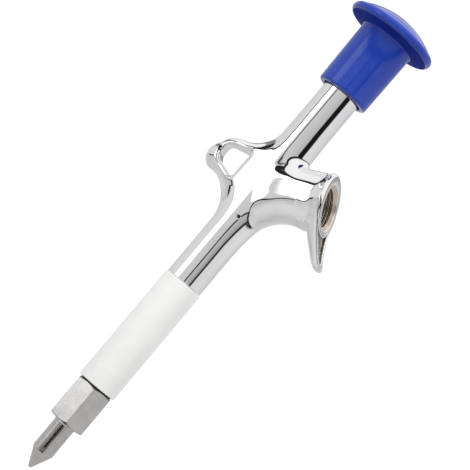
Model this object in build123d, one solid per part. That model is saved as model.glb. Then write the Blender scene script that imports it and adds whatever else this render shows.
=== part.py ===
from build123d import *
import math
import os

# Hand-held meat injector: a press-button brine gun, in millimetres. The origin is on the barrel axis, at
# the shoulder where the needle tip meets the nozzle hex. +Z runs up the barrel to the button, the needle
# points down -Z, and the hose inlet leans out towards +X.
# The body casting and what is screwed into it stay still. The button, the long stem and the valve head on
# its lower end slide down together against a spring in the neck, and can turn freely.

# --- driving dimensions -------------------------------------------------------------------------
PLAY = 0.05             # radial play where one fixed piece sits in another
RUN_PLAY = 0.04         # radial play where the stem runs in a piece
TRAVEL = 6.0            # how far the button goes down

# levels along the barrel axis
Z_POINT = -21.8         # the needle's point
Z_CONE = -13.6          # base of the needle's cone
Z_HEX_LOW = 0.0         # lower face of the nozzle hex
Z_HEX_HIGH = 18.1       # upper face of the nozzle hex
Z_TUBE_LOW = 18.6       # lower end of the plastic tube
Z_TUBE_HIGH = 70.8      # where the plastic tube meets the chrome barrel
Z_BOSS = 118.1          # where the inlet axis meets the barrel axis
Z_NECK_TOP = 180.2      # open end of the neck, hidden in the button
Z_SLEEVE_LOW = 167.9    # lower rim of the button's sleeve, at rest
Z_CAP_RIM = 199.1       # widest level of the button's cap
Z_CAP_TOP = 206.4       # crown of the cap

# radii
R_BARREL = 8.0
R_NECK = 8.15
R_TUBE = 8.45
R_TIP = 4.5
HEX_ACROSS_FLATS = 15.0
R_BORE = 5.0            # brine passage in the barrel, tube and nozzle
R_STEM = 2.5
R_CAP = 19.6
R_CROWN = 33.0          # of the ball that the cap's top is cut from
R_SLEEVE_LOW = 11.3
R_SLEEVE_HIGH = 11.75
R_SLEEVE_BORE = 8.9

# hose inlet, G 3/8 female
INLET_TILT = 22.5       # degrees above square to the barrel
INLET_REACH = 28.8      # from the barrel axis to the inlet's mouth, along the inlet axis
R_BOSS = 13.0
R_COLLAR = 12.0
R_THREAD_MINOR = 7.475
R_THREAD_MAJOR = 8.331
R_MOUTH = 9.0           # outer edge of the entry chamfer
THREAD_PITCH = 1.337
THREAD_DEPTH = 12.0

# needle tip and nozzle
FLUTE_WIDTH = 3.2            # across the mouth of a flute
FLUTE_LOW = Z_CONE - 0.6
R_TIP_COLLAR = 4.7            # thin collar between the flutes and the hex
Z_TIP_COLLAR = -0.8          # its lower face, where the flutes end
VIEW_TURN = 22.0             # degrees from the tab-and-inlet plane to the hex's front corner
R_OUTLET = 2.0               # bore up the needle tip, which the flutes break into
R_SHANK = 4.0                # screwed end of the needle tip, inside the hex
SHANK_LENGTH = 6.0
R_NOSE = 0.9
R_CHAMBER = 4.6              # brine chamber in the hex, round the valve head
SEAT_LOW = 21.2
SEAT_HIGH = 24.6
SPIGOT_HIGH = 29.2
R_SPIGOT = 6.5
R_SEAT_HOLE = 3.0

# plastic tube
R_TUBE_SPIGOT = 6.3
TUBE_SPIGOT_HIGH = 82.8
SEAL_THICK = 1.2
GUIDE_THICK = 4.0

# casting
Z_GLAND = 146.2         # floor of the neck's wide bore
R_NECK_BORE = 6.1
TAB_HALF_THICK = 4.0
FINGER_CENTRE = (24.0, 101.2)
FINGER_RADIUS = 15.0
TONGUE_TIP = (33.4, 25.8)    # reach and drop of the tongue's tip, along and down the inlet plane
TONGUE_TIP_RADIUS = 2.5
POCKET_DEPTH = 1.3
THREAD_FLOOR = INLET_REACH - THREAD_DEPTH
R_INLET_PASSAGE = 4.5
R_INLET_WASHER = 6.7
INLET_WASHER_THICK = 1.8
Z_CHAMBER_TOP = 140.2
BODY_STOP = TUBE_SPIGOT_HIGH + SEAL_THICK + GUIDE_THICK   # shoulder that the guide sits against

# gland in the neck
PACKING_RINGS = 2
PACKING_THICK = 2.2
GLAND_WASHER_THICK = 1.0
GLAND_NUT_LOW = Z_GLAND + PACKING_RINGS * PACKING_THICK + GLAND_WASHER_THICK
GLAND_NUT_HIGH = GLAND_NUT_LOW + 7.0
SLOT_WIDTH = 1.6             # driver slot across the gland nut
SLOT_DEPTH = 1.5

# plunger
SPRING_WASHER_THICK = 0.8
R_SPRING_WASHER = 5.6
SPRING_LOW = GLAND_NUT_HIGH + SPRING_WASHER_THICK
SPRING_HIGH = 190.0
SPRING_GAP = 0.05            # from each end of the coil to its washer
INSERT_LOW = SPRING_HIGH + SPRING_WASHER_THICK
SPRING_RADIUS = 4.6
SPRING_WIRE = 0.6
SPRING_TURNS = 9
STEM_TOP = 200.2
HEAD_LOW = 17.0
HEAD_HIGH = 19.7
DISC_HIGH = SEAT_LOW - 0.05
R_HEAD = 4.3
R_STEM_LOW = 1.5
BUTTON_CEILING = Z_NECK_TOP + TRAVEL + 2.0    # leaves room above the neck at full press
R_INSERT = 4.5
INSERT_HIGH = 201.2

INLET_PLANE = Plane(
    origin=(0, 0, Z_BOSS),
    x_dir=(math.sin(math.radians(INLET_TILT)), 0, -math.cos(math.radians(INLET_TILT))),
    z_dir=(math.cos(math.radians(INLET_TILT)), 0, math.sin(math.radians(INLET_TILT))),
)


# --- helpers ------------------------------------------------------------------------------------
def rod(radius, low, high):
    """A solid round bar on the Z axis."""
    return Pos(0, 0, low) * Cylinder(radius, high - low, align=(Align.CENTER, Align.CENTER, Align.MIN))


def ring(inner, outer, low, high):
    """A round tube on the Z axis."""
    return rod(outer, low, high) - rod(inner, low - 1, high + 1)


def closed(*pieces):
    """A flat face inside the closed outline that the given lines and arcs make."""
    edges = [edge for piece in pieces for edge in piece.edges()]
    return make_face(Wire(edges))


def turned(*points):
    """A solid of revolution about Z from a closed outline of (radius, height) points."""
    outline = Polyline(*[(r, 0, z) for r, z in points], close=True)
    return revolve(make_face(outline), axis=Axis.Z)


def hexagon(across_flats, low, high, turn=0.0):
    """A hexagonal bar on the Z axis."""
    face = RegularPolygon(across_flats / 2, 6, major_radius=False, rotation=turn)
    return Pos(0, 0, low) * extrude(face, high - low)


def on_inlet(shape, reach=0.0):
    """Moves a shape built on the XY plane to the inlet axis, that far from the barrel axis."""
    return INLET_PLANE.offset(reach).location * shape


# --- nozzle end -----------------------------------------------------------------------------------


def fluted_tip():
    """Pointed needle tip. Two V flutes down its sides break into the bore, so the brine leaves sideways."""
    slope = math.atan2(R_TIP - R_NOSE, Z_CONE - Z_POINT - R_NOSE)
    nose_level = Z_POINT + R_NOSE
    touch = (R_NOSE * math.cos(slope), nose_level - R_NOSE * math.sin(slope))
    middle = (slope + math.pi / 2) / 2
    shoulder = Z_HEX_LOW + SHANK_LENGTH
    tip = revolve(
        closed(
            ThreePointArc(
                (0, 0, Z_POINT),
                (R_NOSE * math.cos(middle), 0, nose_level - R_NOSE * math.sin(middle)),
                (touch[0], 0, touch[1]),
            ),
            Polyline(
                (touch[0], 0, touch[1]),
                (R_TIP, 0, Z_CONE),
                (R_TIP, 0, Z_TIP_COLLAR),
                (R_TIP_COLLAR, 0, Z_TIP_COLLAR),
                (R_TIP_COLLAR, 0, Z_HEX_LOW),
                (R_SHANK, 0, Z_HEX_LOW),
                (R_SHANK, 0, shoulder),
                (0, 0, shoulder),
                (0, 0, Z_POINT),
            ),
        ),
        axis=Axis.Z,
    )
    tip -= rod(R_OUTLET, FLUTE_LOW + 2, shoulder + 1)
    depth = FLUTE_WIDTH / 2 / math.tan(math.radians(30))
    outer = R_TIP + 1
    half_mouth = (outer - R_TIP + depth) * math.tan(math.radians(30))
    vee = Polyline((R_TIP - depth, 0), (outer, half_mouth), (outer, -half_mouth), close=True)
    cutter = Pos(0, 0, FLUTE_LOW) * extrude(make_face(vee), Z_TIP_COLLAR - FLUTE_LOW)
    for turn in (VIEW_TURN - 100, VIEW_TURN + 80):
        tip -= Rot(0, 0, turn) * cutter
    return tip


def nozzle_hex():
    """Stainless hex nozzle: holds the tip, carries the valve seat and screws into the tube."""
    body = hexagon(HEX_ACROSS_FLATS, Z_HEX_LOW, Z_HEX_HIGH, VIEW_TURN + 30)
    corner = HEX_ACROSS_FLATS / math.sqrt(3) + 0.1
    face_low, face_high = 6.9, 7.1
    slope = math.tan(math.radians(30))
    body &= turned(
        (0, Z_HEX_LOW),
        (face_low, Z_HEX_LOW),
        (corner, Z_HEX_LOW + (corner - face_low) * slope),
        (corner, Z_HEX_HIGH - (corner - face_high) * slope),
        (face_high, Z_HEX_HIGH),
        (0, Z_HEX_HIGH),
    )
    body += rod(R_SPIGOT - PLAY, Z_HEX_HIGH - 1, SPIGOT_HIGH)
    body -= rod(R_SHANK + PLAY, Z_HEX_LOW - 1, Z_HEX_LOW + SHANK_LENGTH + 1)
    body -= rod(R_CHAMBER, Z_HEX_LOW + SHANK_LENGTH, SEAT_LOW + 1)
    body -= rod(R_BORE, SEAT_LOW, SPIGOT_HIGH + 1)
    return body


def nozzle_washer():
    """Thin rubber washer between the hex and the tube."""
    return ring(R_SPIGOT + PLAY, 7.1, Z_HEX_HIGH, Z_TUBE_LOW)


def valve_seat():
    """Brass ring that the valve disc closes against from below."""
    seat = ring(R_SEAT_HOLE, R_BORE - PLAY, SEAT_LOW, SEAT_HIGH)
    middle = (SEAT_LOW + SEAT_HIGH) / 2
    groove = ring(R_BORE - PLAY - 1.1, R_BORE + 1, middle - 0.6, middle + 0.6)
    return seat - groove


def seat_o_ring():
    """O-ring in the seat's groove."""
    cord = 0.5
    return Pos(0, 0, (SEAT_LOW + SEAT_HIGH) / 2) * Torus(R_BORE - PLAY - cord, cord)


def extension_tube():
    """White plastic tube between the nozzle and the barrel, with a spigot that screws into the barrel."""
    tube = chamfer(rod(R_TUBE, Z_TUBE_LOW, Z_TUBE_HIGH).edges().filter_by(GeomType.CIRCLE), 0.35)
    tube += rod(R_TUBE_SPIGOT - PLAY, Z_TUBE_HIGH - 1, TUBE_SPIGOT_HIGH)
    tube -= rod(R_BORE, Z_TUBE_LOW - 1, TUBE_SPIGOT_HIGH + 1)
    tube -= rod(R_SPIGOT, Z_TUBE_LOW - 1, SPIGOT_HIGH + 1)
    return tube


def tube_seal():
    """Rubber ring squeezed between the tube's spigot and the guide above it."""
    return ring(R_BORE, R_TUBE_SPIGOT - PLAY, TUBE_SPIGOT_HIGH, TUBE_SPIGOT_HIGH + SEAL_THICK)


def stem_guide():
    """Plastic guide with three brine ports, which keeps the long stem central."""
    low = TUBE_SPIGOT_HIGH + SEAL_THICK
    guide = ring(R_STEM + RUN_PLAY, R_TUBE_SPIGOT - PLAY, low, low + GUIDE_THICK)
    port = Pos(4.3, 0, low - 1) * Cylinder(
        0.9, GUIDE_THICK + 2, align=(Align.CENTER, Align.CENTER, Align.MIN)
    )
    for third in range(3):
        guide -= Rot(0, 0, 120 * third) * port
    return guide


# --- body casting -----------------------------------------------------------------------------------


def tab_plate():
    """Flat hanging tab, opposite the inlet, with concave roots into the barrel and the neck."""
    outline = closed(
        Line((0, 0, 95.2), (-8.0, 0, 95.2)),
        ThreePointArc((-8.0, 0, 95.2), (-11.5, 0, 106.8), (-20.0, 0, 113.2)),
        Line((-20.0, 0, 113.2), (-24.6, 0, 113.1)),
        ThreePointArc((-24.6, 0, 113.1), (-28.4, 0, 117.1), (-26.6, 0, 123.6)),
        ThreePointArc((-26.6, 0, 123.6), (-23.8, 0, 127.8), (-19.0, 0, 130.2)),
        ThreePointArc((-19.0, 0, 130.2), (-11.6, 0, 134.4), (-8.0, 0, 144.2)),
        Line((-8.0, 0, 144.2), (0, 0, 144.2)),
        Line((0, 0, 144.2), (0, 0, 95.2)),
    )
    plate = extrude(outline, TAB_HALF_THICK, both=True)
    rim = [e for e in plate.edges() if abs(abs(e.center().Y) - TAB_HALF_THICK) < 0.01 and e.center().X < -8.01]
    return fillet(rim, 2.6)


def eye_cutter():
    """Rounded four-sided eye through the tab."""
    corners = Polyline(
        (-22.9, 0, 125.4), (-22.7, 0, 118.4), (-10.6, 0, 114.2), (-10.4, 0, 128.2), close=True
    )
    prism = extrude(make_face(corners), TAB_HALF_THICK + 6, both=True)
    return fillet(prism.edges().filter_by(Axis.Y), 2.4)


def inlet_boss():
    """Boss that swells from the barrel to the round mouth of the inlet."""
    root = on_inlet(Pos(-1.0, 0) * Ellipse(12.6, 8.4), 2.0)
    waist = on_inlet(Pos(-1.7, 0) * Circle(11.3), INLET_REACH - 10)
    mouth = on_inlet(Circle(R_BOSS), INLET_REACH - 5)
    rim = on_inlet(Cylinder(R_BOSS, 5, align=(Align.CENTER, Align.CENTER, Align.MIN)), INLET_REACH - 5)
    return loft([root, waist], ruled=True) + loft([waist, mouth], ruled=True) + rim


def finger_web():
    """Flare from the barrel into the underside of the boss, hollowed to the curve of a finger."""
    cx, cz = FINGER_CENTRE
    rings = [Pos(0, 0, cz - 5) * Circle(R_BARREL)]
    for rise in (0.25, 0.5, 0.72, 0.88, 0.97):
        reach = cx - FINGER_RADIUS * math.sqrt(1 - rise ** 2)
        rings.append(Pos(0, 0, cz + rise * FINGER_RADIUS) * Ellipse(reach, R_BARREL + 1.6 * rise))
    rings.append(Pos(0, 0, cz + FINGER_RADIUS + 6) * Ellipse(14, 7))
    flare = loft(rings)
    front = Pos(50, 0, cz) * Box(100, 60, 60)
    return flare & front


def teardrop(radius, tip_radius, drop, height, low):
    """Prism along the inlet axis: a circle drawn out to a rounded tip."""
    lean = math.asin((radius - tip_radius) / drop)
    big = (radius * math.sin(lean), radius * math.cos(lean))
    small = (drop + tip_radius * math.sin(lean), tip_radius * math.cos(lean))
    outline = closed(
        ThreePointArc((big[0], -big[1]), (-radius, 0), (big[0], big[1])),
        Line((big[0], big[1]), (small[0], small[1])),
        ThreePointArc((small[0], small[1]), (drop + tip_radius, 0), (small[0], -small[1])),
        Line((small[0], -small[1]), (big[0], -big[1])),
    )
    return on_inlet(extrude(outline, height), low)


def tongue_face(sink):
    """Curved outer face of the finger hook, from the rim to past its tip, sunk by so much."""
    reach, drop = TONGUE_TIP
    return ThreePointArc(
        (9, 0, INLET_REACH - sink),
        (18, 0, INLET_REACH + 1.3 - sink),
        (drop + 1, 0, reach + 0.4 - sink),
    )


def tongue():
    """Finger hook: the boss's rim drawn down into a leaf that curls outwards."""
    reach, drop = TONGUE_TIP
    top = -R_BOSS - 1
    leaf = teardrop(R_BOSS, TONGUE_TIP_RADIUS, drop - TONGUE_TIP_RADIUS, 20, INLET_REACH - 12)
    side = closed(
        Line((top, 0, INLET_REACH), (9, 0, INLET_REACH)),
        tongue_face(0),
        Line((drop + 1, 0, reach + 0.4), (drop + 1, 0, reach - 2.4)),
        ThreePointArc((drop + 1, 0, reach - 2.4), (17, 0, INLET_REACH - 3.4), (8, 0, INLET_REACH - 7)),
        Polyline((8, 0, INLET_REACH - 7), (0, 0, INLET_REACH - 5), (top, 0, INLET_REACH - 5)),
        Line((top, 0, INLET_REACH - 5), (top, 0, INLET_REACH)),
    )
    return leaf & on_inlet(extrude(side, R_BOSS + 1, both=True))


def tongue_pocket():
    """Shallow hollow in the hook's outer face, below the collar."""
    reach, drop = TONGUE_TIP
    hollow = teardrop(R_BOSS - 1.6, 1.0, drop - 6.0, 20, INLET_REACH - 10)
    top = INLET_REACH + 12
    above = closed(
        tongue_face(POCKET_DEPTH),
        Polyline(
            (drop + 1, 0, reach + 0.4 - POCKET_DEPTH),
            (drop + 1, 0, top),
            (9, 0, top),
            (9, 0, INLET_REACH - POCKET_DEPTH),
        ),
    )
    hollow &= on_inlet(extrude(above, R_BOSS + 1, both=True))
    return hollow - on_inlet(Cylinder(R_COLLAR, 40), INLET_REACH)


def inlet_bore():
    """Threaded socket, washer seat and brine passage. The thread is cut as rings one pitch apart."""
    cutter = turned(
        (0, INLET_REACH + 2),
        (R_MOUTH + 2, INLET_REACH + 2),
        (R_THREAD_MINOR, INLET_REACH - (R_MOUTH - R_THREAD_MINOR)),
        (R_THREAD_MINOR, THREAD_FLOOR),
        (R_INLET_WASHER, THREAD_FLOOR),
        (R_INLET_WASHER, THREAD_FLOOR - INLET_WASHER_THICK),
        (R_INLET_PASSAGE, THREAD_FLOOR - INLET_WASHER_THICK),
        (R_INLET_PASSAGE, 1.0),
        (0, 1.0),
    )
    half = 0.34 * THREAD_PITCH
    first = INLET_REACH - 2.4
    turns = int((first - half - 0.5 - THREAD_FLOOR) / THREAD_PITCH) + 1
    for turn in range(turns):
        middle = first - turn * THREAD_PITCH
        cutter += turned(
            (R_THREAD_MINOR - 0.5, middle - half),
            (R_THREAD_MINOR, middle - half),
            (R_THREAD_MAJOR, middle - 0.1),
            (R_THREAD_MAJOR, middle + 0.1),
            (R_THREAD_MINOR, middle + half),
            (R_THREAD_MINOR - 0.5, middle + half),
        )
    return on_inlet(cutter)


def body_casting():
    """Chrome-plated brass body: barrel, neck, inlet boss, finger hook and hanging tab in one casting."""
    body = rod(R_BARREL, Z_TUBE_HIGH, Z_BOSS + 12) + rod(R_NECK, Z_BOSS + 11, Z_NECK_TOP)
    body += tab_plate()
    body += finger_web()
    body += inlet_boss()
    body += tongue()
    body -= eye_cutter()
    body -= tongue_pocket()
    body -= inlet_bore()
    body -= rod(R_TUBE_SPIGOT, Z_TUBE_HIGH - 1, BODY_STOP)
    body -= rod(R_BORE, BODY_STOP - 1, Z_CHAMBER_TOP)
    body -= rod(R_STEM + 0.5, Z_CHAMBER_TOP - 1, Z_GLAND + 1)
    body -= rod(R_NECK_BORE, Z_GLAND, Z_NECK_TOP + 1)
    return body


def inlet_washer():
    """Flat rubber washer in its pocket at the bottom of the threaded socket."""
    low = THREAD_FLOOR - INLET_WASHER_THICK
    return on_inlet(ring(R_INLET_PASSAGE, R_INLET_WASHER - PLAY, low, THREAD_FLOOR))


# --- gland in the neck ------------------------------------------------------------------------------


def gland_packing():
    """Two stacked plastic packing rings round the stem."""
    rings = []
    for i in range(PACKING_RINGS):
        low = Z_GLAND + i * PACKING_THICK
        rings.append(ring(R_STEM + RUN_PLAY, R_NECK_BORE - PLAY, low, low + PACKING_THICK - 0.02))
    return Compound(children=rings)


def gland_washer():
    """Brass washer between the packing and the nut."""
    return ring(R_STEM + 0.2, R_NECK_BORE - PLAY, GLAND_NUT_LOW - GLAND_WASHER_THICK, GLAND_NUT_LOW)


def gland_nut():
    """Brass nut that squeezes the packing. A driver fits the slot across its top."""
    nut = ring(R_STEM + RUN_PLAY, R_NECK_BORE - PLAY, GLAND_NUT_LOW, GLAND_NUT_HIGH)
    return nut - Pos(0, 0, GLAND_NUT_HIGH) * Box(20, SLOT_WIDTH, 2 * SLOT_DEPTH)


# --- plunger ------------------------------------------------------------------------------------------


def spring_washer(low):
    """Steel washer at one end of the spring."""
    return ring(R_STEM + 0.3, R_SPRING_WASHER, low, low + SPRING_WASHER_THICK)


def lower_spring_washer():
    """Washer that the spring stands on."""
    return spring_washer(GLAND_NUT_HIGH)


def upper_spring_washer():
    """Washer between the spring and the button, which lets the button turn."""
    return spring_washer(SPRING_HIGH)


def return_spring():
    """Coil spring between the gland and the button."""
    length = SPRING_HIGH - SPRING_LOW - 2 * SPRING_WIRE - 2 * SPRING_GAP
    coil = Helix(length / SPRING_TURNS, length, SPRING_RADIUS)
    section = Plane(origin=coil @ 0, z_dir=coil % 0) * Circle(SPRING_WIRE)
    wire = sweep(section, path=coil)
    return Pos(0, 0, SPRING_LOW + SPRING_WIRE + SPRING_GAP) * wire


def valve_stem():
    """Long stainless stem from the button down to the valve head."""
    step = SEAT_HIGH + 8
    stem = rod(R_STEM, step, STEM_TOP) + rod(R_STEM_LOW, HEAD_LOW - 3.2, step + 1)
    return chamfer(stem.edges().group_by(Axis.Z)[-1], 0.4)


def valve_head():
    """Brass head that carries the sealing disc."""
    return ring(R_STEM_LOW + 0.02, R_HEAD, HEAD_LOW, HEAD_HIGH) - (
        ring(R_HEAD - 0.5, R_HEAD + 1, HEAD_LOW - 1, HEAD_LOW + 0.8)
    )


def valve_disc():
    """Rubber disc on top of the head."""
    return ring(R_STEM_LOW + 0.02, R_HEAD, HEAD_HIGH, DISC_HIGH)


def valve_nut():
    """Small hex nut that clamps the head on the stem's lower end."""
    low = HEAD_LOW - 2.4
    return hexagon(5.5, low, HEAD_LOW) - rod(R_STEM_LOW + 0.02, low - 1, HEAD_LOW + 1)


def push_button():
    """Blue plastic button: a sleeve that slides over the neck under a wide mushroom cap."""
    edge = 1.4
    bevel = edge * (1 - math.sqrt(0.5))
    underside = Z_CAP_RIM - 1.8
    crown_edge = R_CAP - 1.5
    crown_centre = Z_CAP_TOP - R_CROWN

    def crown(radius):
        return (radius, 0, crown_centre + math.sqrt(R_CROWN ** 2 - radius ** 2))

    outline = closed(
        Line((0, 0, Z_SLEEVE_LOW), (R_SLEEVE_LOW - edge, 0, Z_SLEEVE_LOW)),
        ThreePointArc(
            (R_SLEEVE_LOW - edge, 0, Z_SLEEVE_LOW),
            (R_SLEEVE_LOW - bevel, 0, Z_SLEEVE_LOW + bevel),
            (R_SLEEVE_LOW, 0, Z_SLEEVE_LOW + edge),
        ),
        Polyline(
            (R_SLEEVE_LOW, 0, Z_SLEEVE_LOW + edge),
            (R_SLEEVE_HIGH, 0, underside - 1.6),
            (R_SLEEVE_HIGH + 0.8, 0, underside - 0.8),
            (R_CAP - 1.6, 0, underside),
        ),
        ThreePointArc((R_CAP - 1.6, 0, underside), (R_CAP, 0, Z_CAP_RIM), crown(crown_edge)),
        ThreePointArc(crown(crown_edge), crown(crown_edge / 2), (0, 0, Z_CAP_TOP)),
        Line((0, 0, Z_CAP_TOP), (0, 0, Z_SLEEVE_LOW)),
    )
    button = revolve(outline, axis=Axis.Z)
    button -= rod(R_SLEEVE_BORE, Z_SLEEVE_LOW - 1, BUTTON_CEILING)
    button -= rod(R_SPRING_WASHER + 0.1, BUTTON_CEILING - 1, INSERT_LOW)
    button -= rod(R_INSERT + 0.02, INSERT_LOW - 1, INSERT_HIGH + 0.02)
    return button


def button_insert():
    """Brass insert moulded into the button, screwed on the stem."""
    insert = rod(R_INSERT, INSERT_LOW, INSERT_HIGH)
    insert -= ring(R_INSERT - 0.6, R_INSERT + 1, INSERT_LOW + 4, INSERT_LOW + 6)
    return insert - rod(R_STEM, INSERT_LOW - 1, STEM_TOP)


def stem_circlip():
    """Split ring on the stem, which keeps the upper washer on when the button is unscrewed."""
    return ring(R_STEM, R_STEM + 1.0, SPRING_HIGH - 1.6, SPRING_HIGH)


# --- export -------------------------------------------------------------------------------------------
PIECES = {
    "fluted_tip": fluted_tip,
    "nozzle_hex": nozzle_hex,
    "nozzle_washer": nozzle_washer,
    "valve_seat": valve_seat,
    "seat_o_ring": seat_o_ring,
    "extension_tube": extension_tube,
    "tube_seal": tube_seal,
    "stem_guide": stem_guide,
    "body_casting": body_casting,
    "inlet_washer": inlet_washer,
    "gland_packing": gland_packing,
    "gland_washer": gland_washer,
    "gland_nut": gland_nut,
    "lower_spring_washer": lower_spring_washer,
    "upper_spring_washer": upper_spring_washer,
    "return_spring": return_spring,
    "valve_stem": valve_stem,
    "valve_head": valve_head,
    "valve_disc": valve_disc,
    "valve_nut": valve_nut,
    "push_button": push_button,
    "button_insert": button_insert,
    "stem_circlip": stem_circlip,
}

os.makedirs("parts", exist_ok=True)
for name, make in PIECES.items():
    export_step(make(), f"parts/{name}.step")
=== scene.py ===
import math

import bmesh
import bpy
import numpy as np
from mathutils import Matrix, Vector


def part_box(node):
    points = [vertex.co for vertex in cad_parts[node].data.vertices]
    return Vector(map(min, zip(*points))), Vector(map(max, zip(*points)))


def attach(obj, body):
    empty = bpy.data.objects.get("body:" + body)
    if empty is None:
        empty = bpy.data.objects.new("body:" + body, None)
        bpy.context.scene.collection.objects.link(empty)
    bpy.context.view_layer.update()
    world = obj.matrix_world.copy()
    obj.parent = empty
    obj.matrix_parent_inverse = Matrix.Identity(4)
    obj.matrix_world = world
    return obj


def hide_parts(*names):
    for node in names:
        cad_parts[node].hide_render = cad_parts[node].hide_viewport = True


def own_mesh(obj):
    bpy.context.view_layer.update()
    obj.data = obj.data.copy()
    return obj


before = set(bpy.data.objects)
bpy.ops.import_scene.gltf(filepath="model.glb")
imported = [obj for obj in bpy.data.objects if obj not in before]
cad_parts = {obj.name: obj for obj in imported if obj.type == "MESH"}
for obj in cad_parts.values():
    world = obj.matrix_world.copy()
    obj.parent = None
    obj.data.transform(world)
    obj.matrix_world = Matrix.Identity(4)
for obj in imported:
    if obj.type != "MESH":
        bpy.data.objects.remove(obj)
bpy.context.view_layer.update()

MM = 0.001

# Levels of the CAD's pieces, in millimetres.
Z_TUBE_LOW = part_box("extension_tube")[0].z / MM
Z_BARREL_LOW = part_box("body_casting")[0].z / MM
Z_NECK_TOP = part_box("body_casting")[1].z / MM
Z_SLEEVE_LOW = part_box("push_button")[0].z / MM
Z_CAP_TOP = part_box("push_button")[1].z / MM
Z_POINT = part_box("fluted_tip")[0].z / MM

# The inlet: where its axis leaves the barrel's, its lean above level, and how far out its mouth stands.
# Points on it are given as u, the drop below its axis, and w, the reach along it.
Z_INLET = 118.1
TILT = math.radians(22.5)
REACH = 28.8

# The arc that a finger hooks under: the level of its middle, and its radius.
FINGER_Z = 101.2
FINGER_R = 15.0


# --- shaders --------------------------------------------------------------------------------------
def link(tree, source, target):
    tree.links.new(source, target)


def add(tree, kind, **values):
    """A node with its properties set."""
    node = tree.nodes.new(kind)
    for key, value in values.items():
        setattr(node, key, value)
    return node


# The middle part of a noise's values, which is spread over the range wanted.
NOISE_LOW, NOISE_HIGH = 0.3, 0.7


def noise(tree, scale, stretch=(1, 1, 1), detail=3.0):
    """Noise in the object's own coordinates, in cycles per metre, finer along a stretched axis."""
    where = add(tree, "ShaderNodeTexCoord")
    place = add(tree, "ShaderNodeMapping")
    place.inputs["Scale"].default_value = stretch
    texture = add(tree, "ShaderNodeTexNoise")
    texture.inputs["Scale"].default_value = scale
    texture.inputs["Detail"].default_value = detail
    link(tree, where.outputs["Object"], place.inputs["Vector"])
    link(tree, place.outputs["Vector"], texture.inputs["Vector"])
    return texture.outputs["Fac"]


def between(tree, fac, low, high):
    """The noise spread over a range of values."""
    node = add(tree, "ShaderNodeMapRange")
    node.inputs["From Min"].default_value = NOISE_LOW
    node.inputs["From Max"].default_value = NOISE_HIGH
    node.inputs["To Min"].default_value = low
    node.inputs["To Max"].default_value = high
    link(tree, fac, node.inputs["Value"])
    return node.outputs["Result"]


def tints(tree, fac, dark, light):
    """The noise as a colour between two tints."""
    node = add(tree, "ShaderNodeValToRGB")
    first, last = node.color_ramp.elements
    first.position, last.position = NOISE_LOW, NOISE_HIGH
    first.color, last.color = (*dark, 1), (*light, 1)
    link(tree, fac, node.inputs["Fac"])
    return node.outputs["Color"]


def finish(name, dark, light, metallic, rough, patch, grain, stretch=(1, 1, 1), depth=0.00001,
           edge=0.0, edge_wear_and_sheen=None, specular=0.5):
    """A surface with patchy tint and gloss and a fine grain in relief, with its edges softened by a
    radius, and a paler tint on its corners, where those are given, partly wear and partly a painted
    highlight."""
    m = bpy.data.materials.new(name)
    m.use_nodes = True
    tree = m.node_tree
    shader = tree.nodes["Principled BSDF"]
    shader.inputs["Metallic"].default_value = metallic
    shader.inputs["Specular IOR Level"].default_value = specular
    cloud = noise(tree, patch)
    colour = tints(tree, cloud, dark, light)
    # Paler convex corners: partly wear and partly a painted highlight.
    if edge_wear_and_sheen:
        shape = add(tree, "ShaderNodeNewGeometry")
        edge_wear_and_sheen_share = add(tree, "ShaderNodeMapRange")
        edge_wear_and_sheen_share.inputs["From Min"].default_value = 0.54
        edge_wear_and_sheen_share.inputs["From Max"].default_value = 0.66
        link(tree, shape.outputs["Pointiness"], edge_wear_and_sheen_share.inputs["Value"])
        blend = add(tree, "ShaderNodeMix", data_type="RGBA")
        blend.inputs[7].default_value = (*edge_wear_and_sheen, 1)
        link(tree, edge_wear_and_sheen_share.outputs["Result"], blend.inputs[0])
        link(tree, colour, blend.inputs[6])
        colour = blend.outputs[2]
    link(tree, colour, shader.inputs["Base Color"])
    link(tree, between(tree, noise(tree, patch * 2.3, stretch), *rough), shader.inputs["Roughness"])
    bump = add(tree, "ShaderNodeBump")
    bump.inputs["Strength"].default_value = 0.6
    bump.inputs["Distance"].default_value = depth
    link(tree, noise(tree, grain, stretch, 4.0), bump.inputs["Height"])
    if edge:
        soft = add(tree, "ShaderNodeBevel", samples=6)
        soft.inputs["Radius"].default_value = edge
        link(tree, soft.outputs["Normal"], bump.inputs["Normal"])
    link(tree, bump.outputs["Normal"], shader.inputs["Normal"])
    return m


chrome = finish("chrome", (0.86, 0.86, 0.87), (0.9, 0.9, 0.9), 1.0, (0.025, 0.06), 90, 260, depth=0.000012)
satin = finish("satin_steel", (0.53, 0.515, 0.505), (0.62, 0.605, 0.595), 1.0, (0.18, 0.3), 220, 500,
               stretch=(1, 1, 14), edge=0.00025)
white = finish("white_plastic", (0.81, 0.81, 0.8), (0.86, 0.855, 0.845), 0.0, (0.42, 0.56), 120, 1400,
               depth=0.00002, specular=0.35)
# The blue's paler corners are partly wear and partly a painted highlight along its rims.
blue = finish("blue_plastic", (0.014, 0.046, 0.36), (0.02, 0.058, 0.42), 0.0, (0.06, 0.13), 140, 900,
              depth=0.000008, edge_wear_and_sheen=(0.05, 0.1, 0.5), specular=0.4)
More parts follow.
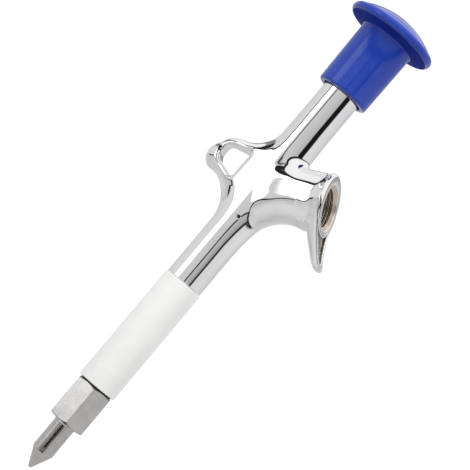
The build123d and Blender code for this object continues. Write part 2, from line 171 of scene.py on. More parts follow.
# A darker blue of painted shade for the brim's underside, which is also matt.
shaded = finish("matt_underside_painted_shade", (0.008, 0.024, 0.28), (0.012, 0.034, 0.33), 0.0, (0.6, 0.8), 140, 900,
                specular=0.05)
rubber = finish("black_rubber", (0.012, 0.012, 0.012), (0.03, 0.03, 0.03), 0.0, (0.6, 0.8), 400, 3000)
brass = finish("brass", (0.62, 0.44, 0.2), (0.78, 0.6, 0.32), 1.0, (0.18, 0.32), 300, 900,
               stretch=(1, 1, 8), edge=0.0002)
nickel = finish("machined_ring", (0.86, 0.81, 0.75), (0.95, 0.92, 0.87), 1.0, (0.16, 0.3), 260, 700,
                depth=0.00002)
socket = finish("socket_brass", (0.5, 0.42, 0.34), (0.68, 0.6, 0.52), 1.0, (0.28, 0.4), 320, 900,
                depth=0.000004)
# Painted shade: a darker brownish metal for the recess in the hook's face, where shade falls.
recess = finish("shade_painted_recess", (0.3, 0.26, 0.21), (0.62, 0.58, 0.52), 1.0, (0.2, 0.4), 260, 600,
                depth=0.00003)
# Painted shade: near black metal for the neck's band just under the sleeve, standing in for the shadowed gap,
# and for the pit.
painted_shade_black = finish("casting_painted_shade", (0.03, 0.03, 0.03), (0.07, 0.07, 0.07), 1.0, (0.5, 0.7), 260, 600,
              depth=0.00003)
ptfe = finish("natural_plastic", (0.78, 0.76, 0.7), (0.86, 0.84, 0.78), 0.0, (0.5, 0.65), 200, 1500)
steel_wire = finish("spring_steel", (0.42, 0.42, 0.42), (0.6, 0.6, 0.6), 1.0, (0.2, 0.34), 300, 1500)
bright = finish("bright_steel", (0.7, 0.7, 0.7), (0.8, 0.8, 0.8), 1.0, (0.1, 0.18), 200, 700,
                stretch=(1, 1, 10))

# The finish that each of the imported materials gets.
FINISHES = {
    "chrome": chrome, "satin_steel": satin, "white_plastic": white, "blue_plastic": blue,
    "black_rubber": rubber, "brass": brass, "natural_plastic": ptfe, "spring_steel": steel_wire,
    "bright_steel": bright,
}
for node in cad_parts.values():
    packed = node.data.materials[0]
    node.data.materials[0] = FINISHES[packed.name]


# --- meshes ---------------------------------------------------------------------------------------
def place(name, mesh, body, slot, stands_for, *materials):
    """Puts a finished mesh in the scene as a piece."""
    for m in materials:
        mesh.materials.append(m)
    piece = bpy.data.objects.new(name, mesh)
    bpy.context.scene.collection.objects.link(piece)
    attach(piece, body)
    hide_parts(stands_for)
    return piece


def crisp(mesh, degrees=32):
    """Smooth shading with hard edges where the faces turn sharply."""
    work = bmesh.new()
    work.from_mesh(mesh)
    bmesh.ops.recalc_face_normals(work, faces=work.faces)
    for f in work.faces:
        f.smooth = True
    for e in work.edges:
        e.smooth = len(e.link_faces) != 2 or e.calc_face_angle() < math.radians(degrees)
    work.to_mesh(mesh)
    work.free()
    return mesh


def rounded_profile(corners, steps=5):
    """Corners given as (radius, level, rounding), each turned into a small arc."""
    out = []
    n = len(corners)
    for i, (r, z, size) in enumerate(corners):
        here = Vector((r, z))
        if not size:
            out.append(here)
            continue
        before = Vector(corners[i - 1][:2]) - here
        after = Vector(corners[(i + 1) % n][:2]) - here
        reach = min(size, before.length * 0.45, after.length * 0.45)
        a = here + before.normalized() * reach
        b = here + after.normalized() * reach
        for k in range(steps + 1):
            t = k / steps
            out.append(a * (1 - t) ** 2 + here * (2 * t * (1 - t)) + b * t ** 2)
    return [(p.x, p.y) for p in out]


def joined(work, a, b):
    """The quads between two rings of vertices."""
    after = range(1, len(a) + 1)
    return [work.faces.new((a[k - 1], a[k % len(a)], b[k % len(a)], b[k - 1])) for k in after]


def lathe(name, corners, segments=128):
    """A closed mesh turned round Z from a closed outline in millimetres; points on the axis become poles."""
    outline = rounded_profile(corners)
    work = bmesh.new()
    rings = []
    for r, z in outline:
        if r < 1e-6:
            rings.append([work.verts.new((0, 0, z * MM))])
            continue
        rings.append([
            work.verts.new((r * MM * math.cos(t), r * MM * math.sin(t), z * MM))
            for t in (2 * math.pi * k / segments for k in range(segments))
        ])
    for a, b in zip(rings, rings[1:] + rings[:1]):
        if len(a) == len(b) == segments:
            joined(work, a, b)
        elif len(a) == segments:
            for k in range(segments):
                work.faces.new((a[k], a[(k + 1) % segments], b[0]))
        elif len(b) == segments:
            for k in range(segments):
                work.faces.new((a[0], b[(k + 1) % segments], b[k]))
    mesh = bpy.data.meshes.new(name)
    work.to_mesh(mesh)
    work.free()
    return crisp(mesh)


# --- the casting, as one smooth field ---------------------------------------------------------------
def smin(a, b, k):
    """Union of two distance fields with a fillet about k wide."""
    h = np.maximum(k - np.abs(a - b), 0.0) / k
    return np.minimum(a, b) - h * h * k * 0.25


def smax(a, b, k):
    """Intersection of two distance fields with a rounded edge."""
    return -smin(-a, -b, k)


def slab(outline, side, edge):
    """An outline carried through a thickness, with its rim rounded."""
    a = outline + edge
    b = side + edge
    return np.hypot(np.maximum(a, 0), np.maximum(b, 0)) + np.minimum(np.maximum(a, b), 0) - edge


def ramp(value, start, end):
    """0 at the start, 1 at the end, even between them and level beyond them."""
    return np.clip((value - start) / (end - start), 0, 1)


def beyond(value, start, blend):
    """How far a value is past the start, easing in from 0."""
    return (value - start + np.sqrt((value - start) ** 2 + blend ** 2)) / 2


def arc(start, middle, end, steps=20):
    """Points along the circle through three points, without its last point."""
    (ax, az), (bx, bz), (cx, cz) = start, middle, end
    d = 2 * (ax * (bz - cz) + bx * (cz - az) + cx * (az - bz))
    sa, sb, sc = ax * ax + az * az, bx * bx + bz * bz, cx * cx + cz * cz
    ox = (sa * (bz - cz) + sb * (cz - az) + sc * (az - bz)) / d
    oz = (sa * (cx - bx) + sb * (ax - cx) + sc * (bx - ax)) / d
    radius = math.hypot(ax - ox, az - oz)
    first = math.atan2(az - oz, ax - ox)
    last = math.atan2(cz - oz, cx - ox)
    through = math.atan2(bz - oz, bx - ox)
    turn = (last - first) % (2 * math.pi)
    if (through - first) % (2 * math.pi) > turn:
        turn -= 2 * math.pi
    return [
        (ox + radius * math.cos(first + turn * k / steps), oz + radius * math.sin(first + turn * k / steps))
        for k in range(steps)
    ]


def outline_distance(x, z, points):
    """Distance to a closed outline in the XZ plane, negative inside."""
    best = np.full(np.broadcast(x, z).shape, 1e9)
    inside = np.zeros(best.shape, bool)
    for (ax, az), (bx, bz) in zip(points, points[1:] + points[:1]):
        ex, ez = bx - ax, bz - az
        t = np.clip(((x - ax) * ex + (z - az) * ez) / (ex * ex + ez * ez), 0, 1)
        best = np.minimum(best, np.hypot(x - ax - ex * t, z - az - ez * t))
        if ez:
            inside ^= ((az > z) != (bz > z)) & (x < ax + (z - az) / ez * ex)
    return np.where(inside, -best, best)


def bend(t):
    """The four weights of a smooth cubic curve, at a fraction t between two of its control values."""
    near = (3 * t ** 3 - 6 * t * t + 4) / 6
    far = (3 * t + 3 * t * t - 3 * t ** 3 + 1) / 6
    return (1 - t) ** 3 / 6, near, far, t ** 3 / 6


def softened(points, step=0.5, passes=5, x_span=(-36, 48), z_span=(82, 160)):
    """An outline's distance, with the creases in it smoothed, as a function of X and Z."""
    xs, zs = np.arange(*x_span, step), np.arange(*z_span, step)
    table = outline_distance(xs[:, None], zs[None, :], points)
    for _ in range(passes):
        table[1:-1] = (table[:-2] + 2 * table[1:-1] + table[2:]) / 4
        table[:, 1:-1] = (table[:, :-2] + 2 * table[:, 1:-1] + table[:, 2:]) / 4

    def distance(x, z):
        across = np.clip((x - xs[0]) / step, 1, len(xs) - 3.01)
        up = np.clip((z - zs[0]) / step, 1, len(zs) - 3.01)
        i, j = across.astype(int), up.astype(int)
        total = 0.0
        for a, wa in enumerate(bend(across - i)):
            for b, wb in enumerate(bend(up - j)):
                total = total + wa * wb * table[i + a - 1, j + b - 1]
        return total

    return distance


def curve(x, first, step, values):
    """A smooth curve through the neighbourhood of evenly spaced control values."""
    values = np.array(values)
    at = np.clip((x - first) / step, 1, len(values) - 3.01)
    i = at.astype(int)
    return sum(w * values[i + k - 1] for k, w in enumerate(bend(at - i)))


def teardrop(u, v, big, small, drop):
    """Distance to a circle drawn out along u to a small rounded tip."""
    lean = (big - small) / drop
    level = math.sqrt(1 - lean * lean)
    side = np.abs(v)
    along = u * level - side * lean
    return np.where(
        along < 0,
        np.hypot(side, u) - big,
        np.where(along > level * drop, np.hypot(side, u - drop) - small, side * level + u * lean - big),
    )


def on_inlet(u, w):
    """Point in the XZ plane from its drop below the inlet's axis and its reach along it."""
    return (w * math.cos(TILT) + u * math.sin(TILT), Z_INLET + w * math.sin(TILT) - u * math.cos(TILT))


def from_inlet(x, z):
    """A point's drop below the inlet's axis and its reach along it."""
    u = x * math.sin(TILT) - (z - Z_INLET) * math.cos(TILT)
    w = x * math.cos(TILT) + (z - Z_INLET) * math.sin(TILT)
    return u, w


# Side outline of the middle of the casting: hanging tab on the left, boss on the right, finger arc
# below the boss. The boss runs on past its mouth, where casting() cuts it off.
BOSS_DROP = 9.6
BOSS_END = 40.0
OUTLINE = (
    [(-6.6, 86.0)]
    + arc((-7.8, 94.0), (-11.5, 106.8), (-20.0, 113.0))
    + [(-20.0, 113.0)]
    + arc((-24.6, 113.0), (-28.4, 117.1), (-26.6, 123.6))
    + arc((-26.6, 123.6), (-23.8, 127.8), (-19.0, 130.2))
    + arc((-19.0, 130.2), (-11.6, 134.2), (-8.1, 144.6))
    + [(-8.1, 144.6), (-7.6, 150.0), (7.6, 150.0), (8.1, 143.0), (8.3, 137.6), (10.0, 136.3)]
    + [on_inlet(-13.0, BOSS_END), on_inlet(BOSS_DROP, BOSS_END), on_inlet(BOSS_DROP, 26.5)]
    + [(24.0, FINGER_Z + FINGER_R)]
    + arc((23.0, FINGER_Z + FINGER_R), (13.4, 111.8), (9.0, FINGER_Z + 0.5))
    + [(8.2, 96.5), (6.6, 86.0)]
)
SIDE = softened(OUTLINE)

# Half the casting's thickness at the tab, the barrel and the boss, every 4 mm from X -34.
HALVES = (3.5, 3.5, 3.7, 4.4, 5.1, 5.8, 6.6, 7.4, 8.1, 8.4, 8.3, 8.7, 9.3, 9.5, 9.6, 9.7, 9.8, 9.8, 9.8)

# Corners of the hanging eye, and how round they are.
EYE = [(-22.9, 125.4), (-22.7, 118.4), (-11.6, 114.6), (-11.4, 127.8)]
EYE_CORNER = 2.4

# The barrel's radius, what the neck adds to it, and the levels between which it is added.
BARREL_R = 8.0
NECK_EXTRA = 0.15
NECK_FROM, NECK_FULL = 112, 124

# The ring round the inlet's mouth. The hook and its recess are teardrops: the radius at the mouth, the
# radius at the tip, and the drop between the two. The recess stays outside a circle round the axis.
RING_R = 13.0
RING_DEEP = 1.8
HOOK = (RING_R, 5.0, 20.8)
RECESS = (12.1, 4.0, 18.6)
RECESS_INNER_R = 11.8
RECESS_DEEP = 1.9

# A small pit in the barrel's front.
PIT = (3.1, -8.2, 104.2)
PIT_R = 0.85

# Bores as a radius and two ends: along the inlet from the barrel's axis, and up the barrel.
INLET_BORES = ((10.5, 27.4, 40.0), (8.45, 14.7, 28.0), (4.5, 1.0, 15.0))
BARREL_BORES = ((6.3, 60.0, 88.0), (5.0, 87.0, 140.2), (3.0, 139.0, 147.0), (6.1, 146.2, 190.0))


def eye(x, z):
    """Rounded four-sided hole through the tab."""
    spread = 0.0
    nearest = -1e9
    for (ax, az), (bx, bz) in zip(EYE, EYE[1:] + EYE[:1]):
        length = math.hypot(bx - ax, bz - az)
        side = ((x - ax) * (az - bz) + (z - az) * (bx - ax)) / length
        spread = spread + np.maximum(EYE_CORNER - side, 0) ** 2
        nearest = np.maximum(nearest, EYE_CORNER - side)
    return np.sqrt(spread) + np.minimum(nearest, 0) - EYE_CORNER


def barrel(x, y, z):
    """The barrel, and the neck above it, which is a little wider."""
    middle = (Z_BARREL_LOW + Z_NECK_TOP) / 2
    outline = np.hypot(x, y) - BARREL_R - NECK_EXTRA * ramp(z, NECK_FROM, NECK_FULL)
    return slab(outline, np.abs(z - middle) - (Z_NECK_TOP - middle), 0.35)


def web(x, y, z):
    """The flat part from the tab to the boss, round at its rim and fullest beside the barrel."""
    swell = ramp(z, 88, 104) * ramp(z, 152, 136)
    half = smin(curve(x, -34.0, 4.0, HALVES), 7.0 + 1.3 * swell, 0.6)
    # How far in from the outline the rim is still round: less on the tab than on the rest.
    off_the_tab = smax(ramp(z, 126, 112), ramp(x, -12, -2), 0.2)
    ease = 4.2 + 4.4 * off_the_tab
    side = (SIDE(x, z) + ease) * half / ease
    return np.hypot(np.maximum(side, 0), y) - half + np.minimum(side, 0) * 0.02


def boss(x, y, z):
    """The round boss along the inlet's axis, as far as the side outline goes."""
    u, w = from_inlet(x, z)
    radius = 9.0 + 0.06 * beyond(w, 10, 2.0)
    ease = 8.6
    edge = smax(smax(smax(SIDE(x, z), -13.0 - u, 2.0), -3.0 - w, 6.0), 104.0 - z, 8.0)
    return np.hypot(np.maximum((edge + ease) * radius / ease, 0), y) - radius


def hook_face(u):
    """Level of the hook's outer face along the inlet axis: flat at the mouth, curling outwards below."""
    drop = beyond(u, 8.5, 3.0)
    return REACH + 0.19 * drop + 0.0045 * drop ** 2


def flare(across, w, start=18.0, end=27.6):
    """The boss widening towards the ring at its mouth."""
    radius = 9.3 + 0.042 * np.clip(w - start, 0, end - start) ** 2
    return smax(across - radius, np.abs(w - 23.2) - 4.4, 0.5)


def ring_and_hook(u, y, w):
    """The ring round the mouth, with the finger hook hanging from it."""
    ring = slab(np.hypot(u, y) - RING_R, np.abs(w - REACH + RING_DEEP / 2) - RING_DEEP / 2, 0.7)
    outline = teardrop(u, y, *HOOK)
    thick = smin(1.8 - 1.2 * np.minimum(outline, 0), np.clip(2.8 + 0.17 * (26.8 - u), 2.8, 6.0), 1.0)
    hook = slab(outline, (np.abs(w - hook_face(u) + thick / 2) - thick / 2) * 0.85, 0.6)
    return smin(ring, hook, 0.6)


def shade_painted_recess(u, y, w):
    """The shallow recess in the hook's outer face, below the ring."""
    pocket = smax(teardrop(u, y, *RECESS), (hook_face(u) - RECESS_DEEP - w) * 0.96, 0.4)
    return smax(pocket, smax(RECESS_INNER_R - np.hypot(u, y), 7.5 - u, 0.6), 0.4)


def from_pit(x, y, z):
    """Distance from the middle of the pit."""
    return np.sqrt((x - PIT[0]) ** 2 + (y - PIT[1]) ** 2 + (z - PIT[2]) ** 2)


def bored(body, across, along, bores):
    """A field less its round bores."""
    for radius, low, high in bores:
        hole = slab(across - radius, np.abs(along - (low + high) / 2) - (high - low) / 2, 0.02)
        body = np.maximum(body, -hole)
    return body


def casting(x, y, z):
    """Distance field of the whole casting."""
    u, w = from_inlet(x, z)
    across = np.hypot(u, y)
    body = smin(smin(barrel(x, y, z), web(x, y, z), 0.8), boss(x, y, z), 1.6)
    body = smax(body, w - REACH + 1.6, 0.6)
    body = smin(smin(body, flare(across, w), 1.5), ring_and_hook(u, y, w), 1.5)
    body = smax(body, -shade_painted_recess(u, y, w), 0.4)
    body = smax(body, -(from_pit(x, y, z) - PIT_R), 0.2)
    body = smax(body, -eye(x, z), 2.4)
    body = bored(body, across, w, INLET_BORES)
    return bored(body, np.hypot(x, y), z, BARREL_BORES)


def slope_of(field, p, reach=0.02):
    """Gradient of a field at points, by central differences."""
    out = np.empty_like(p)
    for i in range(3):
        ahead, behind = p.copy(), p.copy()
        ahead[:, i] += reach
        behind[:, i] -= reach
        out[:, i] = (field(*ahead.T) - field(*behind.T)) / (2 * reach)
    return out


def skin(field, low, high, step):
    """Vertices and outward quads on a field's zero level, one vertex in each grid cell that it crosses."""
    levels = [np.arange(a, b + step, step) for a, b in zip(low, high)]
    x, y, z = np.meshgrid(*levels, indexing="ij", sparse=True)
    value = field(x, y, z)
    inside = value < 0
    size = np.array(value.shape) - 1
    corners = [np.array((i, j, k)) for i in (0, 1) for j in (0, 1) for k in (0, 1)]
    hits = sum(
        inside[i:size[0] + i, j:size[1] + j, k:size[2] + k].astype(np.int8) for i, j, k in corners
    )
    cells = np.argwhere((hits > 0) & (hits < 8))
    at = [value[tuple((cells + c).T)] for c in corners]
    total = np.zeros((len(cells), 3))
    count = np.zeros(len(cells))
    for a, ca in enumerate(corners):
        for b, cb in enumerate(corners):
            if b <= a or abs(ca - cb).sum() != 1:
                continue
            cut = (at[a] < 0) != (at[b] < 0)
            t = (at[a][cut] / (at[a][cut] - at[b][cut]))[:, None]
            total[cut] += ca + t * (cb - ca)
            count[cut] += 1
    points = np.array(low) + (cells + total / count[:, None]) * step
    number = np.full(size, -1)
    number[tuple(cells.T)] = np.arange(len(cells))
    quads = []
    for axis in range(3):
        first, second = np.eye(3, dtype=int)[(axis + 1) % 3], np.eye(3, dtype=int)[(axis + 2) % 3]
        ahead = np.moveaxis(inside, axis, 0)[1:]
        behind = np.moveaxis(inside, axis, 0)[:-1]
        crossed = np.argwhere(np.moveaxis(ahead != behind, 0, axis))
        around = [crossed, crossed - first, crossed - first - second, crossed - second]
        ring = np.stack([number[tuple(c.T)] for c in around], axis=1)
        leaves = inside[tuple(crossed.T)]
        quads.append(ring[leaves])
        quads.append(ring[~leaves][:, ::-1])
    for _ in range(4):
        slope = slope_of(field, points)
        move = slope * (field(*points.T) / np.maximum((slope ** 2).sum(1), 0.05))[:, None]
        points -= np.clip(move, -0.3 * step, 0.3 * step)
    normal = slope_of(field, points)
    return points, np.concatenate(quads), normal / np.linalg.norm(normal, axis=1)[:, None]


def build_casting():
    """Chrome casting: barrel, neck, tab, boss, hook and all its bores."""
    step = 0.5
    low = (-30.0, -14.2, Z_BARREL_LOW - 1.2)
    high = (42.2, 14.2, Z_NECK_TOP + 1.2)
    points, quads, normals = skin(casting, low, high, step)
    mesh = bpy.data.meshes.new("cast_body")
    mesh.from_pydata((points * MM).tolist(), [], quads.tolist())
    mesh.polygons.foreach_set("use_smooth", [True] * len(mesh.polygons))
    mesh.normals_split_custom_set_from_vertices(normals.tolist())

    # The recess gets a darker brownish tint of painted shade, and the pit and the neck inside the sleeve are
    # painted near black as shade. The rest is chrome.
    x, y, z = points[quads].mean(axis=1).T
    u, w = from_inlet(x, z)
    depth = hook_face(u) - w
    # Faces of the recess, which get the painted shade.
    recess_shade_faces = (np.hypot(u, y) > RECESS_INNER_R - 0.4) & (u > 5) & (depth > 0.8) & (depth < RECESS_DEEP + 0.3)
    recess_shade_faces &= teardrop(u, y, *RECESS) < 0.2
    # Faces in painted shade: the neck above the sleeve's lower end and the inside of the pit.
    dark = (z > Z_SLEEVE_LOW + 0.4) | (from_pit(x, y, z) < PIT_R + 0.045)
    slots = np.where(dark, 2, np.where(recess_shade_faces, 1, 0))
    mesh.polygons.foreach_set("material_index", slots.astype(np.int32))
    return place("cast_body", mesh, "body", "chrome", "body_casting", chrome, recess, painted_shade_black)


def build_inlet_liner():
    """Machined mouth of the inlet with its helical thread, down to the washer's seat."""
    pitch, minor, major, segments = 1.337, 7.475, 8.331, 144
    floor = REACH - 12.0
    face = REACH + 0.15
    back = floor - 2.15
    # Radius and reach of each ring of vertices, all the way round the section.
    mouth = [(11.5, REACH - 1.25), (11.5, REACH - 0.1), (11.4, REACH + 0.1), (11.25, face), (9.3, face),
             (9.15, REACH), (8.35, REACH - 0.9)]
    thread = [(None, level) for level in np.arange(REACH - 1.0, floor + 0.05, -0.1)]
    seat = [(minor, floor), (6.7, floor), (6.7, floor - 1.8), (4.55, floor - 1.8), (4.55, back)]
    outside = [(8.5, back), (8.5, REACH - 1.9), (9.4, REACH - 1.25)]

    def thread_radius(level, share):
        """The thread's radius at a level and a share of a turn, fading out at the bottom."""
        phase = (level / pitch + share) % 1
        depth = (0.5 - 0.5 * math.cos(2 * math.pi * phase)) * max(0, min(1, (level - floor) / 0.8))
        return minor + (major - minor) * depth

    work = bmesh.new()
    rings = []
    for radius, level in mouth + thread + seat + outside:
        ring = []
        for k in range(segments):
            turn = 2 * math.pi * k / segments
            r = thread_radius(level, k / segments) if radius is None else radius
            ring.append(work.verts.new((r * math.cos(turn) * MM, r * math.sin(turn) * MM, level * MM)))
        rings.append(ring)
    for i, (a, b) in enumerate(zip(rings, rings[1:] + rings[:1])):
        in_the_face = i < len(mouth) - 2
        for f in joined(work, a, b):
            f.material_index = 0 if in_the_face else 1
    mesh = bpy.data.meshes.new("inlet_mouth")
    work.to_mesh(mesh)
    work.free()
    crisp(mesh, 50)
    lean = Matrix.Rotation(math.pi / 2 - TILT, 4, "Y")
    mesh.transform(Matrix.Translation((0, 0, Z_INLET * MM)) @ lean)
    return place("inlet_mouth", mesh, "body", "brass", "body_casting", nickel, socket)


# --- turned pieces ----------------------------------------------------------------------------------
def build_button():
    """Blue mushroom button with its sleeve, spring pocket and insert hole."""
    crown, brim_r = 33.0, 18.1
    z_brim = 197.3
    centre = Z_CAP_TOP - crown

    def dome(r):
        return centre + math.sqrt(crown ** 2 - r * r)

    sleeve = [(8.9, Z_SLEEVE_LOW, 0.4), (11.3, Z_SLEEVE_LOW, 1.9), (11.75, 195.6, 0.0), (12.0, 196.05, 0.0),
              (12.6, 196.5, 0.0), (18.0, z_brim, 0.6)]
    brim = arc((18.0, z_brim), (19.585, 199.1), (brim_r, dome(brim_r)), 12)[1:]
    top = [(r, dome(r)) for r in (brim_r, 17.6, 17.0, 16.0, 14.5, 12.5, 10.0, 7.5, 5.0, 2.5)]
    inside = [(0.0, Z_CAP_TOP, 0.0), (0.0, 201.22, 0.0), (4.52, 201.22, 0.0), (4.52, 190.8, 0.0),
              (5.7, 190.8, 0.0), (5.7, 188.2, 0.2), (8.9, 188.2, 0.3)]
    mesh = lathe("press_button", sleeve + [(r, z, 0.0) for r, z in brim + top] + inside, 160)
    # The faces under the brim get the darker blue of painted shade.
    for f in mesh.polygons:
        out = math.hypot(f.center.x, f.center.y) / MM
        under = z_brim - 1.4 < f.center.z / MM < z_brim + 0.1 and out > 11.9
        f.material_index = 1 if under else 0
    return place("press_button", mesh, "plunger", "blue_plastic", "push_button", blue, shaded)


def build_tube():
    """White plastic tube with its eased ends, counterbore and spigot."""
    spigot, bore, low_socket, outside = 6.25, 5.0, 6.5, 8.45
    shoulder, top, socket_end = 70.8, 82.8, 29.2
    corners = [(low_socket, Z_TUBE_LOW, 0.15), (outside, Z_TUBE_LOW, 0.45), (outside, shoulder, 0.45),
               (spigot, shoulder, 0.1), (spigot, top, 0.3), (bore, top, 0.1), (bore, socket_end, 0.0),
               (low_socket, socket_end, 0.0)]
    return place("white_tube", lathe("white_tube", corners), "body", "white_plastic", "extension_tube", white)


def build_spring():
    """Coil spring of round wire with close end turns."""
    low, high, radius, wire, turns, around = 160.0, 189.4, 4.6, 0.6, 9, 12
    steps = turns * 40
    work = bmesh.new()
    rings = []
    for i in range(steps + 1):
        share = i / steps
        turn = 2 * math.pi * turns * share
        ease = share - math.sin(2 * math.pi * share) / (2 * math.pi) * 0.55
        out = Vector((math.cos(turn), math.sin(turn), 0))
        centre = out * radius + Vector((0, 0, low + (high - low) * ease))
        rings.append([
            work.verts.new((centre + out * (wire * math.cos(a)) + Vector((0, 0, wire * math.sin(a)))) * MM)
            for a in (2 * math.pi * k / around for k in range(around))
        ])
    for a, b in zip(rings, rings[1:]):
        joined(work, a, b)
    work.faces.new(rings[0])
    work.faces.new(rings[-1][::-1])
    mesh = bpy.data.meshes.new("coil_spring")
    work.to_mesh(mesh)
    work.free()
    piece = place("coil_spring", crisp(mesh, 60), "body", "spring_steel", "return_spring", steel_wire)
    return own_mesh(piece)


build_casting()
build_inlet_liner()
build_button()
build_tube()
build_spring()


# --- studio -----------------------------------------------------------------------------------------
# Directions of the view from the object's front: turned about Z, and looking up a little.
TURN = math.radians(22.0)
DROP = math.radians(4.3)
ACROSS = Vector((math.cos(TURN), math.sin(TURN), 0))
ALONG = Vector((math.sin(TURN) * math.sin(DROP), -math.cos(TURN) * math.sin(DROP), math.cos(DROP)))
TOWARD = ACROSS.cross(ALONG)

# The level of the floor and the background that the camera sees.
WHITE = 1.02


def build_camera():
    """Camera at the object's front, rolled so that the object lies across the frame."""
    away, aim_z, aim_across, roll = 666.4, 98.4, 3.29, math.radians(40.03)
    data = bpy.data.cameras.new("camera")
    data.lens = 130.2
    data.sensor_width = 36.0
    data.clip_start, data.clip_end = 0.01, 50
    camera = bpy.data.objects.new("camera", data)
    bpy.context.scene.collection.objects.link(camera)
    bpy.context.scene.camera = camera
    right = ALONG * math.sin(roll) + ACROSS * math.cos(roll)
    up = ALONG * math.cos(roll) - ACROSS * math.sin(roll)
    where = Vector((0, 0, aim_z * MM)) + ACROSS * (aim_across * MM) + TOWARD * (away * MM)
    camera.matrix_world = Matrix.Translation(where) @ Matrix((right, up, TOWARD)).transposed().to_4x4()


def build_floor():
    """Wide pale floor just below the needle's point, greyer in mirror reflections than to the camera."""
    radius, gap = 0.6, 0.4
    mesh = bpy.data.meshes.new("floor")
    work = bmesh.new()
    bmesh.ops.create_circle(work, cap_ends=True, radius=radius, segments=96)
    work.to_mesh(mesh)
    work.free()
    m = bpy.data.materials.new("floor")
    m.use_nodes = True
    tree = m.node_tree
    tree.nodes.clear()
    path = add(tree, "ShaderNodeLightPath")
    shade = add(tree, "ShaderNodeMix")
    shade.inputs[2].default_value = 0.5
    link(tree, between(tree, noise(tree, 3.0), 0.5, 0.8), shade.inputs[3])
    level = add(tree, "ShaderNodeMix")
    level.inputs[3].default_value = WHITE
    glow = add(tree, "ShaderNodeEmission")
    out = add(tree, "ShaderNodeOutputMaterial")
    link(tree, path.outputs["Is Glossy Ray"], shade.inputs[0])
    link(tree, path.outputs["Is Camera Ray"], level.inputs[0])
    link(tree, shade.outputs[0], level.inputs[2])
    link(tree, level.outputs[0], glow.inputs["Strength"])
    link(tree, glow.outputs["Emission"], out.inputs["Surface"])
    mesh.materials.append(m)
    floor = bpy.data.objects.new("floor", mesh)
    bpy.context.scene.collection.objects.link(floor)
    floor.location = (0, 0, (Z_POINT - gap) * MM)


# Grey levels of the studio's walls by the angle round the object from its front, in degrees: a bright
# softbox on the left, and narrow dark flags. The lower wall fills the height just above the skirt.
UPPER_WALL = (
    (-180, 0.62), (-100, 0.76), (-82, 0.76), (-80, 0.02), (-76, 0.02), (-74, 2.0), (-51, 2.0), (-48, 0.7),
    (-42, 0.66), (-40, 0.03), (-37, 0.03), (-35, 0.66), (0, 0.6), (27, 0.5), (30, 0.01), (55, 0.01),
    (60, 0.8), (100, 0.76), (150, 0.6), (180, 0.5),
)
LOWER_WALL = (
    (-180, 0.62), (-100, 0.76), (-76, 0.76), (-72, 2.0), (-49, 2.0), (-45, 0.67), (-8, 0.64), (-5, 0.02),
    (-1, 0.02), (2, 0.56), (28, 0.36), (32, 0.02), (39, 0.02), (43, 0.74), (90, 0.78), (150, 0.6),
    (180, 0.45),
)
# The least level of the skirt below the walls, by the same angle. It is 0 where a dark ring may show.
SKIRT = ((-180, 0.6), (-108, 0.6), (-100, 0.0), (75, 0.0), (90, 0.55), (180, 0.6))

# By the sine of the height above the horizon: where the upper wall takes over from the lower, where the
# walls give way to the skirt and the ceiling, the levels of those two, and where the skirt's least
# level counts.
UPPER_SHARE = ((-1, 0), (0.105, 0), (0.13, 1), (1, 1))
CAPS_SHARE = ((-1, 1), (-0.17, 1), (-0.15, 0), (0.33, 0), (0.35, 1), (1, 1))
CAPS = ((-1, 0.5), (-0.24, 0.5), (-0.22, 0.02), (0.47, 0.02), (0.5, 0.95), (0.8, 1.0), (1, 0.85))
SKIRT_SHARE = ((-1, 1), (-0.05, 1), (0.05, 0), (1, 0))


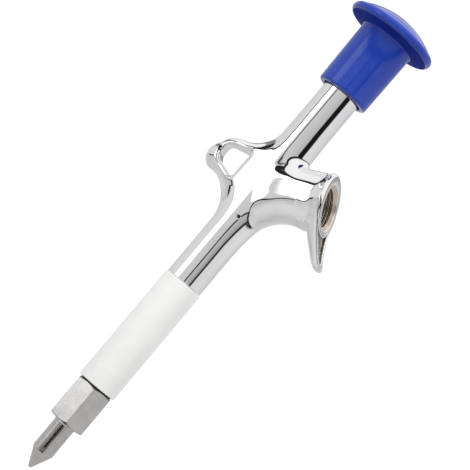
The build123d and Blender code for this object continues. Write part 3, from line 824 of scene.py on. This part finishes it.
def build_world():
    """Soft tent round the object: pale walls, one bright softbox and dark flags, by direction."""
    world = bpy.data.worlds.new("studio")
    world.use_nodes = True
    bpy.context.scene.world = world
    tree = world.node_tree
    tree.nodes.clear()
    ray = add(tree, "ShaderNodeTexCoord").outputs["Generated"]

    def along(axis):
        dot = add(tree, "ShaderNodeVectorMath", operation="DOT_PRODUCT")
        dot.inputs[1].default_value = axis
        link(tree, ray, dot.inputs[0])
        return dot.outputs["Value"]

    def stepped(fac, stops):
        """A ramp of colours over a share from 0 to 1, with only the stops given."""
        node = add(tree, "ShaderNodeValToRGB")
        elements = node.color_ramp.elements
        for at, colour in stops:
            elements.new(at).color = colour
        elements.remove(elements[0])
        elements.remove(elements[-1])
        link(tree, fac, node.inputs["Fac"])
        return node.outputs["Color"]

    def mixed(fac, first, second, blend="MIX"):
        node = add(tree, "ShaderNodeMix", data_type="RGBA", blend_type=blend)
        link(tree, fac, node.inputs[0])
        link(tree, first, node.inputs[6])
        link(tree, second, node.inputs[7])
        return node.outputs[2]

    level = Vector((TOWARD.x, TOWARD.y, 0)).normalized()
    angle = add(tree, "ShaderNodeMath", operation="ARCTAN2")
    link(tree, along(ACROSS), angle.inputs[0])
    link(tree, along(level), angle.inputs[1])
    share = add(tree, "ShaderNodeMapRange")
    share.inputs["From Min"].default_value = -math.pi
    share.inputs["From Max"].default_value = math.pi
    link(tree, angle.outputs["Value"], share.inputs["Value"])
    height = add(tree, "ShaderNodeMapRange")
    height.inputs["From Min"].default_value = -1.0
    link(tree, along((0, 0, 1)), height.inputs["Value"])

    def by_turn(stops):
        """Grey levels, a touch blue, by the angle round the object."""
        colours = [((degrees + 180) / 360, (grey, grey, grey * 1.01, 1)) for degrees, grey in stops]
        return stepped(share.outputs["Result"], colours)

    def by_height(stops):
        """Grey levels by the sine of the height, from straight down to straight up."""
        colours = [((sine + 1) / 2, (grey, grey, grey, 1)) for sine, grey in stops]
        return stepped(height.outputs["Result"], colours)

    walls = mixed(by_height(UPPER_SHARE), by_turn(LOWER_WALL), by_turn(UPPER_WALL))
    caps = mixed(by_height(SKIRT_SHARE), by_height(CAPS), by_turn(SKIRT), "LIGHTEN")
    tent = mixed(by_height(CAPS_SHARE), walls, caps)

    path = add(tree, "ShaderNodeLightPath")
    seen = add(tree, "ShaderNodeMix", data_type="RGBA")
    seen.inputs[7].default_value = (WHITE, WHITE, WHITE, 1)
    link(tree, path.outputs["Is Camera Ray"], seen.inputs[0])
    link(tree, tent, seen.inputs[6])
    background = add(tree, "ShaderNodeBackground")
    out = add(tree, "ShaderNodeOutputWorld")
    link(tree, seen.outputs[2], background.inputs["Color"])
    link(tree, background.outputs["Background"], out.inputs["Surface"])


def soft_light(name, where, power):
    """Large area light aimed at the object's middle, which shapes the matt surfaces only."""
    data = bpy.data.lights.new(name, "AREA")
    data.shape = "DISK"
    data.size = 0.9
    data.energy = power
    light = bpy.data.objects.new(name, data)
    bpy.context.scene.collection.objects.link(light)
    light.location = where
    light.rotation_mode = "QUATERNION"
    light.rotation_quaternion = (Vector(where) - Vector((0, 0, 0.1))).to_track_quat("Z", "Y")
    light.visible_glossy = False
    light.visible_camera = False


build_camera()
build_floor()
build_world()
soft_light("key", (-0.5, -1.3, 1.0), 11.5)
soft_light("fill", (1.2, -0.6, 0.6), 7.0)
soft_light("back", (0.3, 1.3, 0.8), 8.0)
bpy.context.scene.view_settings.view_transform = "Standard"
